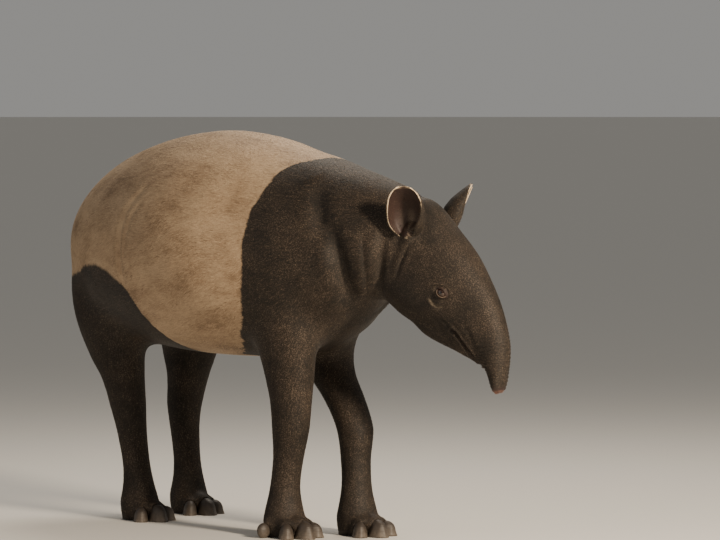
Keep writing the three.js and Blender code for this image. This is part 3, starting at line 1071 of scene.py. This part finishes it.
@dataclass
class Ear:
    """The cup of an ear, its front margin rolled over low down. Each ear is turned its own way.

    The rows run from the root to the tip: the share of the length, the half width and the depth of the cup in
    millimetres, and how far round the front margin and the rear one reach, in degrees from its back's middle.
    """

    side: Side
    length: float = 140.0
    under_coat: float = 0.8
    wall: float = 3.8
    roll: float = 0.45
    root: tuple[float, float, float] = (24.0, -84.0, -112.0)
    lean_out: float = math.radians(26)
    lean_ahead: float = math.radians(13)
    opens_ahead: tuple[float, float] = (math.radians(52), math.radians(24))
    rows: tuple[tuple[float, float, float, float, float], ...] = (
        (0.0, 28, 18, 160, 146), (0.13, 42, 31, 154, 124), (0.25, 48, 39, 146, 106), (0.4, 50, 42, 133, 95),
        (0.6, 48, 36, 114, 90), (0.77, 43, 25, 100, 90), (0.9, 34, 16, 92, 90), (0.97, 25, 11, 90, 90),
        (1.0, 16, 8, 90, 90),
    )
    voxel: float = 2.0 * MM
    grid: tuple[int, int] = (55, 47)
    softening: float = 0.035
    fold_rise: float = 1.1
    fold_count: int = 9
    fold_reach: float = 0.65
    bareness_and_shade: float = 0.62

    def at(self, height: Array) -> Array:
        """Half width, depth and the two reaches, in radians, at shares of the length; a softened run.

        Args:
            height: shares of the ear's length.

        Returns:
            Four rows, with one value for each height.
        """
        rows = np.array(self.rows)
        soft = [np.clip(height + step, 0, 1) for step in (-self.softening, 0.0, self.softening)]
        columns = [np.mean([np.interp(h, rows[:, 0], rows[:, k]) for h in soft], axis=0) for k in range(1, 5)]
        return np.stack([columns[0], columns[1], np.radians(columns[2]), np.radians(columns[3])])

    def turn(self) -> Matrix:
        """How the ear is turned on the straight head.

        Returns:
            The turn.
        """
        opens = self.opens_ahead[0] if self.side is Side.LEFT else self.opens_ahead[1]
        turn = Matrix.Rotation(self.lean_ahead, 3, "Y") @ Matrix.Rotation(opens, 3, "Z")
        return Matrix.Rotation(self.lean_out, 3, "X") @ turn

    def cup(self) -> bpy.types.Mesh:
        """The shell of the ear as a closed mesh: a flat block moved onto the rows from margin to margin.

        Returns:
            The mesh.
        """
        shape = bmesh.new()
        bmesh.ops.create_cube(shape, size=1.0)
        for axis, cuts in zip((0, 2), self.grid):
            long = [e for e in shape.edges if abs(e.verts[0].co[axis] - e.verts[1].co[axis]) > 0.5]
            bmesh.ops.subdivide_edges(shape, edges=long, cuts=cuts, use_grid_fill=True)
        turn = self.turn()
        for vert in shape.verts:
            across, through, height = vert.co + Vector((0.5, 0.5, 0.5))
            half_width, depth, front, rear = self.at(np.array([height]))[:, 0]
            angle = across * (front + rear) - rear
            inset = self.under_coat + self.wall * through
            roll = self.roll if math.cos(angle) < 0 else 1.0
            folds = self.fold_rise * through * math.sin(self.fold_count * angle)
            folds = folds * max(0.0, 1 - height / self.fold_reach)
            place = Vector((
                (half_width - inset - folds) * math.sin(angle),
                (depth - inset - folds) * roll * math.cos(angle),
                height * self.length,
            ))
            place = turn @ place + Vector(self.root)
            place.y *= -self.side.value
            vert.co = NECK.head_point(*place)
        bmesh.ops.recalc_face_normals(shape, faces=shape.faces[:])
        shell = voxelled(mesh_of(shape, "ear"), self.voxel)
        points = points_of(shell)
        put_points(shell, relaxed(points, edges_of(shell), np.full(len(points), 0.5), 3))
        return shell

    def marks(self, straight: Array) -> tuple[Array, Array]:
        """Where the ear is bare, its inside also painted dark as shade, and where its pale rim and painted
        fold highlights run.

        Args:
            straight: straight points of the skin.

        Returns:
            For each point, how bare it is, which inside the cup is also a painted shade, and how much of the
            rim's pale hair it has, with the painted highlights on the folds low in the cup.
        """
        place = np.stack([
            (straight[:, 0] - NECK.poll[0]) / MM,
            -self.side.value * straight[:, 1] / MM,
            (straight[:, 2] - NECK.poll[1]) / MM,
        ], 1) - np.array(self.root)
        x, y, z = (place @ np.array(self.turn())).T
        height = z / self.length
        half_width, depth, front, rear = self.at(np.clip(height, 0, 1))
        back = np.where(y > 0, y / depth, y / depth / self.roll)
        angle = np.arctan2(x / half_width, back)
        radial = np.hypot(x / half_width, back)
        on_ear = (height > -0.02) & (height < 1.05) & (radial < 1.1)
        inside = ramp(radial, 1 - 3.4 / half_width, 1 - 4.6 / half_width)
        edge = np.minimum(front - angle, angle + rear) * half_width
        edge = np.minimum(edge, (1 - height) * self.length + 1.5)
        wide = 4.2 + 6.5 * ramp(height, 0.65, 0.97)
        rim = ramp(edge, wide, 0.4 * wide) * ramp(radial, 0.55, 0.8)
        rim *= np.where(angle < 0, 0.5 + 0.5 * ramp(height, 0.4, 0.8), ramp(height, 0.5, 0.88))
        # Lighter streaks on the ridges of the folds low in the cup, on its front side: partly paler flesh,
        # partly a painted highlight where the folds catch the light.
        streaks = 0.55 + 0.45 * np.sin(self.fold_count * angle)
        flesh_and_fold_highlight = 0.15 * inside * ramp(height, 0.5, 0.15) * streaks
        flesh_and_fold_highlight *= ramp(angle, -0.7, 0.1)
        # The whole inside of the cup takes the dark bare hide, which there is also a painted shade.
        return on_ear * inside * self.bareness_and_shade, on_ear * np.clip(np.maximum(rim, flesh_and_fold_highlight), 0, 1)


@dataclass
class Face:
    """What the head's hide is modelled into: lids, nostrils, the line of the mouth and the muzzle's folds.

    Places are in millimetres ahead, aside and up from the poll, and sizes in millimetres.
    """

    ball: float = 14.5
    lid_over: float = 2.6
    opening: tuple[float, float] = (12.2, 8.4)
    mouth: tuple[tuple[float, float], ...] = ((203, -431), (196, -424), (170, -388), (148, -353), (137, -345))
    mouth_depth: float = 7.0
    mouth_width: float = 3.4
    lip_roll: float = 3.0
    lip_away: float = 8.5
    lip_width: float = 4.0
    wrinkle_gap: float = 8.5
    wrinkle_rise: float = 0.7
    nostril: tuple[float, float, float] = (248.0, 12.5, -508.0)
    nostril_radii: tuple[float, float, float] = (9.0, 6.5, 12.0)
    nostril_depth: float = 9.0
    beside: float = 40.0
    crescent: float = 0.22
    crescent_width: float = 4.2
    pale_crescent: tuple[tuple[float, float], ...] = ((88, -270), (96, -281), (107, -287), (118, -288))
    folds: tuple[Fold, ...] = (
        Fold(((108, -318), (122, -327), (133, -341), (134, -358), (128, -374)), 4.0, 5.0),
        Fold(((88, -312), (104, -334), (110, -360)), 2.0, 7.0),
        Fold(((96, -226), (112, -222), (130, -224), (146, -236)), 2.6, 6.0),
        Fold(((86, -262), (98, -282), (114, -292), (136, -290)), 3.0, 6.0),
        Fold(((172, -322), (188, -350), (196, -380), (208, -404)), 3.0, 8.0),
    )

    def model(self, mesh: bpy.types.Mesh) -> None:
        """Moves the surface of the head into its small shapes and paints what is bare.

        Args:
            mesh: the skin, which is changed.
        """
        points, normals = points_of(mesh), normals_of(mesh)
        straight = NECK.straight(points)
        ahead, aside, up = NECK.from_poll(straight).T
        move = np.zeros((len(points), 3))
        rim = np.zeros(len(points))

        # The mouth
        flat = np.stack([ahead, up], 1)
        away, _ = nearest_on_way(flat, np.array(self.mouth, float))
        on_head = (ahead > 100) & (up < -300)
        slit = self.mouth_depth * bump(away, self.mouth_width)
        lip = self.lip_roll * bump(away - self.lip_away, self.lip_width)
        move -= normals * (on_head * (slit - lip) * MM)[:, None]
        for fold in self.folds:
            move -= normals * (fold.sink(flat) * (aside > 18) * MM)[:, None]

        # Wrinkles round the muzzle
        run = -up - 300
        rings = np.sin(run / self.wrinkle_gap * 2 * math.pi + 2.2 * drift(points, 0.06, 4))
        strength = ramp(up, -320, -380) * ramp(ahead, 150, 190) * (0.6 + 0.4 * drift(points, 0.05, 9))
        move += normals * (self.wrinkle_rise * rings * strength * MM)[:, None]

        # Nostrils
        axes = zip((ahead, aside, up), self.nostril, self.nostril_radii)
        gap = np.stack([(values - middle) / radius for values, middle, radius in axes], 1)
        pit = np.clip(1.15 - np.linalg.norm(gap, axis=1), 0, 1)
        move += np.array([0, 0, 1]) * (ramp(pit, 0, 0.6) * self.nostril_depth * MM)[:, None]

        # Bare skin and pale rims, with the painted shade inside the ears and in the mouth's crease, and the
        # painted highlights on the ears' folds
        tip = ramp(up, -478, -503) * (ahead > 150)
        # Bare lips, and a painted shade in the mouth's crease: the dark bare hide is centred on the slit
        # itself.
        lips_and_crease_shade = on_head * bump(away, 4.5) * 0.55 * (aside < 60)
        bare = np.maximum(tip, lips_and_crease_shade)
        for side in Side:
            facing = straight[:, 1] * side.value > 0
            ear_bare_and_shade, ear_rim_and_fold_highlight = Ear(side).marks(straight)
            bare = np.maximum(bare, ear_bare_and_shade * facing)
            rim = np.maximum(rim, ear_rim_and_fold_highlight * facing)
        under_eye, _ = nearest_on_way(flat, np.array(self.pale_crescent, float))
        streaks = 0.7 + 0.3 * drift(points, 0.008, 31)
        pale = self.crescent * bump(under_eye, self.crescent_width) * (aside > self.beside) * streaks
        rim = np.maximum(rim, pale)
        put_points(mesh, points + move)
        self.lids(mesh, bare, rim)
        self.paint(mesh, "bare", bare)
        self.paint(mesh, "rim", rim)

    def lids(self, mesh: bpy.types.Mesh, bare: Array, rim: Array) -> None:
        """Raises the lids over each eyeball, opens them and marks their bare edges.

        Args:
            mesh: the skin, which is changed.
            bare: how bare each vertex is, which is changed.
            rim: how much of the pale rim each vertex has, which is changed.
        """
        points = points_of(mesh)
        for side in Side:
            centre, out = Eye(side).centre(), Eye(side).gaze()
            slit = Eye(side).slit()
            across = out.cross(slit)
            offset = points - np.array(centre)
            u, v, w = offset @ np.array(slit), offset @ np.array(across), offset @ np.array(out)
            if across.z < 0:
                v = -v
            r = np.hypot(u, v) / MM
            near = (r < 30) & (w > -0.02)
            cover = self.ball + self.lid_over
            cap = np.sqrt(np.maximum(cover**2 - r**2, 0))
            rho = np.hypot(u / MM / self.opening[0], v / MM / self.opening[1])
            base = w / MM
            lid = np.maximum(base, cap)
            blend = ramp(r, cover * 1.25, cover * 0.8)
            height = base * (1 - blend) + lid * blend
            hollow = ramp(rho, 1.06, 0.86)
            inner = np.sqrt(np.maximum((self.ball - 3.0) ** 2 - r**2, 0)) - 4.0
            height = height * (1 - hollow) + inner * hollow
            upper = 0.45 + 0.55 * ramp(v, -6 * MM, 4 * MM)
            height += 0.9 * bump(rho - 1.25, 0.14) - 1.3 * bump(rho - 1.66, 0.16) * upper
            moved = points + np.outer((height - base) * MM, np.array(out))
            points = np.where(near[:, None], moved, points)
            bare[near] = np.maximum(bare[near], 0.58 * ramp(rho[near], 1.9, 1.2))
            lower = ramp(v, 2.0 * MM, -2.0 * MM) * (bump(rho - 1.14, 0.10) + 0.3 * bump(rho - 2.0, 0.2))
            rim[near] = np.maximum(rim[near], 0.14 * lower[near])
        put_points(mesh, points)

    @staticmethod
    def paint(mesh: bpy.types.Mesh, name: str, values: Array) -> None:
        """Keeps one value for each vertex under a name that the materials read."""
        layer = mesh.attributes.new(name, "FLOAT", "POINT")
        layer.data.foreach_set("value", values.astype(np.float32))


# Eyes


@dataclass
class Eye:
    """An eyeball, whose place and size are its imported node's."""

    side: Side
    turn_ahead: float = math.radians(16)
    slit_tilt: float = math.radians(-35)
    iris_angle: float = math.radians(44)
    cornea_rise: float = 0.05

    @property
    def node(self) -> str:
        """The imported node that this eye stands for."""
        return f"eye_{self.side.word}"

    def centre(self) -> Vector:
        """The middle of the eyeball."""
        low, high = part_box(self.node)
        return (low + high) / 2

    def direction(self, ahead: float, aside: float, up: float) -> Vector:
        """A direction on the straight head, as it points in the frame."""
        place = np.array([[NECK.poll[0], 0.0, 0.0]])
        return Vector(NECK.turned(np.array([[ahead, aside, up]]), place)[0]).normalized()

    def gaze(self) -> Vector:
        """Where the eye looks."""
        return self.direction(math.sin(self.turn_ahead), self.side.value * math.cos(self.turn_ahead), 0.0)

    def slit(self) -> Vector:
        """The way from the rear corner of the eye to the front one.

        Returns:
            The way, one long.
        """
        way = self.direction(math.cos(self.slit_tilt), 0.0, math.sin(self.slit_tilt))
        out = self.gaze()
        return (way - out * way.dot(out)).normalized()

    def build(self, material: bpy.types.Material) -> bpy.types.Object:
        """Makes the eyeball, its cornea standing a little proud.

        Args:
            material: the eye's finish.

        Returns:
            The eyeball.
        """
        low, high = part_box(self.node)
        radius = (high.z - low.z) / 2
        shape = bmesh.new()
        bmesh.ops.create_uvsphere(shape, u_segments=48, v_segments=40, radius=radius)
        ring = shape.verts.layers.float.new("ring")
        for vert in shape.verts:
            angle = math.acos(max(-1.0, min(1.0, vert.co.z / radius)))
            vert[ring] = angle / self.iris_angle
            dome = max(0.0, math.cos(min(angle / self.iris_angle, 1.0) * math.pi / 2))
            vert.co *= 1 + self.cornea_rise * dome
        turn = self.gaze().to_track_quat("Z", "Y").to_matrix()
        place = Matrix.Translation(self.centre()) @ turn.to_4x4()
        bmesh.ops.transform(shape, matrix=place, verts=shape.verts[:])
        eye = object_of(mesh_of(shape, self.node), f"eyeball_{self.side.word}")
        eye.data.shade_smooth()
        eye.data.materials.append(material)
        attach(eye, BODY)
        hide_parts(self.node)
        return eye


# Hooves


@dataclass
class Hooves:
    """The horn of every toe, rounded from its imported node."""

    voxel: float = 2.5 * MM
    widest: float = 0.42
    flare: float = 0.10
    passes: int = 7
    sole: float = 3 * MM

    def build(self) -> list[bpy.types.Object]:
        """Makes one piece for each hoof node."""
        material = HoofFinish().material()
        return [self.horn(name, material) for name in sorted(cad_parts) if name.startswith("hoof_")]

    def horn(self, name: str, material: bpy.types.Material) -> bpy.types.Object:
        """Rounds one hoof and keeps its sole flat on the floor.

        Args:
            name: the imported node.
            material: the horn's finish.

        Returns:
            The hoof.
        """
        mesh = voxelled(mesh_of(node_copy(name), name), self.voxel)
        points = points_of(mesh)
        lowest = points[:, 2].min()
        points = relaxed(points, edges_of(mesh), np.full(len(points), 0.5), self.passes)
        middle = (points.max(0) + points.min(0)) / 2
        height = (points[:, 2] - lowest) / (points[:, 2].max() - lowest)
        under = np.clip((self.widest - height) / (1 - self.widest), 0, 0.9)
        wall = 1 / np.sqrt(1 - under**2) + self.flare * under
        points[:, :2] = middle[:2] + (points[:, :2] - middle[:2]) * wall[:, None]
        points[:, 2] = np.where(points[:, 2] < lowest + self.sole, lowest, points[:, 2])
        put_points(mesh, points)
        mesh.shade_smooth()
        mesh.materials.clear()
        mesh.materials.append(material)
        horn = object_of(mesh, f"{name}_horn")
        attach(horn, BODY)
        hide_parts(name)
        return horn


# Coat


@dataclass
class Tufts:
    """The roots of many tufts: places, normals, lie, places on the map, lengths and half widths."""

    place: Array
    normal: Array
    lie: Array
    flat: Array
    length: Array
    width: Array


@dataclass
class Coat:
    """Short hair in thin tufts that lie along the body, laid over the skin piece by piece.

    The length of the hair, and how much shorter it is in places, are in millimetres. The bounds of the
    pieces are in metres on the straightened body. Pale hairs and dark marks are given by their share and
    by how far they change the tone.
    """

    skin: bpy.types.Object
    total: int = 366_000
    quick_total: int = 70_000
    patch: float = 0.003
    seed: int = 11
    sink: float = 0.2 * MM
    above_floor: float = 0.5 * MM
    rounding: float = 0.42
    crest: float = 0.36
    crest_above: float = 0.12 * MM
    lift: float = 0.4 * MM
    length: float = 14.5
    shorter_on_leg: float = 3.0
    shorter_on_foot: float = 4.5
    shorter_on_head: float = 8.0
    lengths_kept: tuple[float, float] = (4.5, 20.0)
    trunk_lie: tuple[float, float, float] = (-1.0, 0.0, -0.28)
    rump_lie: tuple[float, float, float] = (-0.35, 0.0, -1.0)
    leg_lie: tuple[float, float, float] = (-0.22, 0.0, -1.0)
    cheek_lie: tuple[float, float, float] = (-0.85, 0.0, 0.35)
    muzzle_lie: tuple[float, float, float] = (-0.4, 0.0, 0.9)
    flank_from: float = -0.36
    shoulders_from: float = 0.14
    neck_from: float = 0.34
    legs_below: float = 0.46
    hind_legs_to: float = -0.10
    fore_legs_from: float = 0.0
    feet_below: float = 0.17
    head_behind_poll: float = 0.10
    head_above: float = 0.3
    pale_hairs: tuple[float, float] = (0.11, 0.28)
    dark_marks: tuple[float, float] = (0.022, 0.8)
    finish: bpy.types.Material = field(default_factory=lambda: CoatFinish().hair())

    def build(self) -> list[bpy.types.Object]:
        """Lays every tuft and joins them by region."""
        tufts, region = self.roots()
        return [self.piece(name, tufts, region == number) for number, name in enumerate(self.regions())]

    @staticmethod
    def regions() -> tuple[str, ...]:
        """The names of the coat's pieces."""
        return (
            "coat_head_left", "coat_head_right", "coat_neck", "coat_shoulders", "coat_flank_left",
            "coat_flank_right", "coat_rump_left", "coat_rump_right", "coat_fore_legs", "coat_hind_legs",
            "coat_feet",
        )

    def region_of(self, straight: Array) -> Array:
        """Which piece a straight point belongs to.

        Args:
            straight: one row each.

        Returns:
            The piece's number for each.
        """
        x, y, z = straight.T
        right = (y < 0).astype(int)
        names = self.regions()
        region = names.index("coat_rump_left") + right
        flank = x > self.flank_from
        region[flank] = names.index("coat_flank_left") + right[flank]
        region[x > self.shoulders_from] = names.index("coat_shoulders")
        region[x > self.neck_from] = names.index("coat_neck")
        leg = z < self.legs_below
        region[leg & (x < self.hind_legs_to)] = names.index("coat_hind_legs")
        region[leg & (x > self.fore_legs_from)] = names.index("coat_fore_legs")
        region[z < self.feet_below] = names.index("coat_feet")
        head = (x > NECK.poll[0] - self.head_behind_poll) & (z > self.head_above)
        region[head] = names.index("coat_head_left") + right[head]
        return region

    def flow(self, straight: Array) -> Array:
        """The lie of the hair at straight points, as directions on the straightened body.

        Args:
            straight: one row each.

        Returns:
            One direction for each, one long.
        """
        ahead, _, up = NECK.from_poll(straight).T
        x, _, z = straight.T
        turns = (
            (ramp(x, -0.45, -0.70), self.rump_lie),
            (ramp(z, 0.55, 0.40), self.leg_lie),
            (ramp(ahead, -90, -10), self.cheek_lie),
            (ramp(up, -260, -400) * ramp(ahead, 60, 160), self.muzzle_lie),
        )
        way = np.array(self.trunk_lie)
        for share, lie in turns:
            way = way * (1 - share[:, None]) + np.array(lie) * share[:, None]
        return unit(way)

    def lengths(self, straight: Array) -> Array:
        """How long the hair is at straight points.

        Args:
            straight: one row each.

        Returns:
            One length for each.
        """
        ahead, _, up = NECK.from_poll(straight).T
        z = straight[:, 2]
        length = self.length - self.shorter_on_leg * ramp(z, 0.5, 0.35)
        length -= self.shorter_on_foot * ramp(z, 0.2, 0.08)
        length -= self.shorter_on_head * ramp(ahead, -140, 40) * (up > -700)
        return np.clip(length, *self.lengths_kept) * MM

    def roots(self) -> tuple[Tufts, Array]:
        """Draws the roots of the tufts evenly over the skin.

        Returns:
            The tufts, and the number of the region each belongs to.
        """
        dice = np.random.default_rng(self.seed)
        mesh = self.skin.data
        mesh.calc_loop_triangles()
        corners = rows_of(mesh.loop_triangles, "vertices", 3, np.int32)
        loops = rows_of(mesh.loop_triangles, "loops", 3, np.int32)
        points, normals = points_of(mesh), normals_of(mesh)
        flat = rows_of(mesh.uv_layers["unwrap"].uv, "vector", 2)
        bare = rows_of(mesh.attributes["bare"].data, "value", 1)[:, 0]
        a, b, c = (points[corners[:, k]] for k in range(3))
        area = np.linalg.norm(np.cross(b - a, c - a), axis=1) / 2
        middle = NECK.straight((a + b + c) / 3)
        length = self.lengths(middle)
        weight = area * (12 * MM / length) ** 1.1 * (1 - bare[corners].mean(1))
        weight *= (a[:, 2] + b[:, 2] + c[:, 2]) / 3 > 4 * MM
        total = self.total
        steps = (np.arange(total) + dice.uniform(0, 1, total)) / total * weight.sum()
        chosen = np.minimum(np.searchsorted(np.cumsum(weight), steps), len(weight) - 1)
        share = dice.dirichlet((1, 1, 1), total)
        place = (points[corners[chosen]] * share[:, :, None]).sum(1)
        normal = unit((normals[corners[chosen]] * share[:, :, None]).sum(1))
        uv = (flat[loops[chosen]] * share[:, :, None]).sum(1)
        straight = NECK.straight(place)
        lie = NECK.turned(self.flow(straight), straight)
        lie = unit(lie - normal * (lie * normal).sum(1, keepdims=True))
        swirl = math.radians(16) * drift(place, 0.16, 21) + math.radians(7) * dice.normal(size=total)
        lie = lie * np.cos(swirl)[:, None] + np.cross(normal, lie) * np.sin(swirl)[:, None]
        size = self.lengths(straight) * dice.uniform(0.7, 1.3, total)
        width = size * dice.uniform(0.045, 0.075, total)
        return Tufts(place, normal, lie, uv, size, width), self.region_of(straight)

    def piece(self, name: str, tufts: Tufts, pick: Array) -> bpy.types.Object:
        """Joins the picked tufts to one mesh: each is a flat four-sided sliver with a ridge along it.

        Args:
            name: the piece's name.
            tufts: all the tufts.
            pick: which of them are this piece's.

        Returns:
            The piece.
        """
        dice = np.random.default_rng(self.seed + len(name))
        place, normal, lie = tufts.place[pick], tufts.normal[pick], tufts.lie[pick]
        length, width = tufts.length[pick][:, None], tufts.width[pick][:, None]
        count = len(place)
        aside = np.cross(normal, lie)
        rise = width * dice.uniform(0.10, 0.25, (count, 1))
        lift = self.lift + length * dice.uniform(0.0, 0.045, (count, 1))
        left = place + aside * width - normal * self.sink
        right = place - aside * width - normal * self.sink
        under = self.crest * (lift + self.sink) - self.sink
        ridge = place + lie * length * self.crest + normal * (under + rise + self.crest_above)
        sway = np.clip(dice.normal(0, 0.6, (count, 1)), -1.4, 1.4)
        tip = place + lie * length + normal * lift + aside * width * sway
        corners = np.stack([left, right, ridge, tip], 1).reshape(-1, 3)
        corners[:, 2] = np.maximum(corners[:, 2], self.above_floor)
        faces = np.array([[0, 1, 2], [0, 2, 3], [1, 3, 2], [0, 3, 1]])
        numbers = (np.arange(count)[:, None, None] * 4 + faces).reshape(-1)
        mesh = bpy.data.meshes.new(name)
        mesh.vertices.add(count * 4)
        mesh.vertices.foreach_set("co", corners.astype(np.float32).ravel())
        mesh.loops.add(count * 12)
        mesh.loops.foreach_set("vertex_index", numbers.astype(np.int32))
        mesh.polygons.add(count * 4)
        mesh.polygons.foreach_set("loop_start", np.arange(0, count * 12, 3, dtype=np.int32))
        mesh.update(calc_edges=True)
        mesh.shade_smooth()
        facing = np.stack([normal + aside * self.rounding, normal - aside * self.rounding, normal, normal], 1)
        mesh.normals_split_custom_set_from_vertices(unit(facing.reshape(-1, 3)))
        half = self.patch / 2
        spread = np.array([[-half, -half], [half, -half], [0, 0], [0, half]])
        uv = (tufts.flat[pick][:, None, :] + spread)[:, faces.ravel(), :]
        mesh.uv_layers.new(name="OFBake").uv.foreach_set("vector", uv.astype(np.float32).ravel())
        share, lighter = self.pale_hairs
        light = lighter * (dice.uniform(0, 1, count) < share)
        share, darker = self.dark_marks
        marked = darker * (dice.uniform(0, 1, count) < share * ramp(drift(place, 0.13, 41), -0.1, 0.5))
        tone = (dice.normal(0, 0.12, count) + light - marked)[:, None] + np.array([-0.10, -0.10, 0.0, 0.16])
        Face.paint(mesh, "tone", tone.ravel())
        mesh.materials.append(self.finish)
        piece = object_of(mesh, name)
        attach(piece, BODY)
        LOG.info("%s: %d tufts", name, count)
        return piece


def unwrap(piece: bpy.types.Object) -> None:
    """Unwraps the skin by its own shape, for the places of the tufts on their map.

    Args:
        piece: the skin.
    """
    piece.data.uv_layers.new(name="unwrap")
    bpy.ops.object.select_all(action="DESELECT")
    piece.select_set(True)
    bpy.context.view_layer.objects.active = piece
    bpy.ops.object.mode_set(mode="EDIT")
    bpy.ops.mesh.select_all(action="SELECT")
    bpy.ops.uv.smart_project(angle_limit=math.radians(66), island_margin=0.004)
    bpy.ops.object.mode_set(mode="OBJECT")


def main() -> None:
    """Builds the animal and its studio, one class after another."""
    logging.basicConfig(level=logging.INFO, format="%(message)s")
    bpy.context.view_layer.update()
    Studio().build()
    LOG.info("studio")
    skin = Skin().build()
    LOG.info("%s: %d vertices", skin.name, len(skin.data.vertices))
    for side in Side:
        LOG.info("%s", Eye(side).build(EyeFinish().material()).name)
    LOG.info("%d hooves", len(Hooves().build()))
    unwrap(skin)
    coat = Coat(skin).build()
    LOG.info("%d pieces of coat", len(coat))
    skin.data.uv_layers.remove(skin.data.uv_layers["unwrap"])


if __name__ == "__main__":
    main()
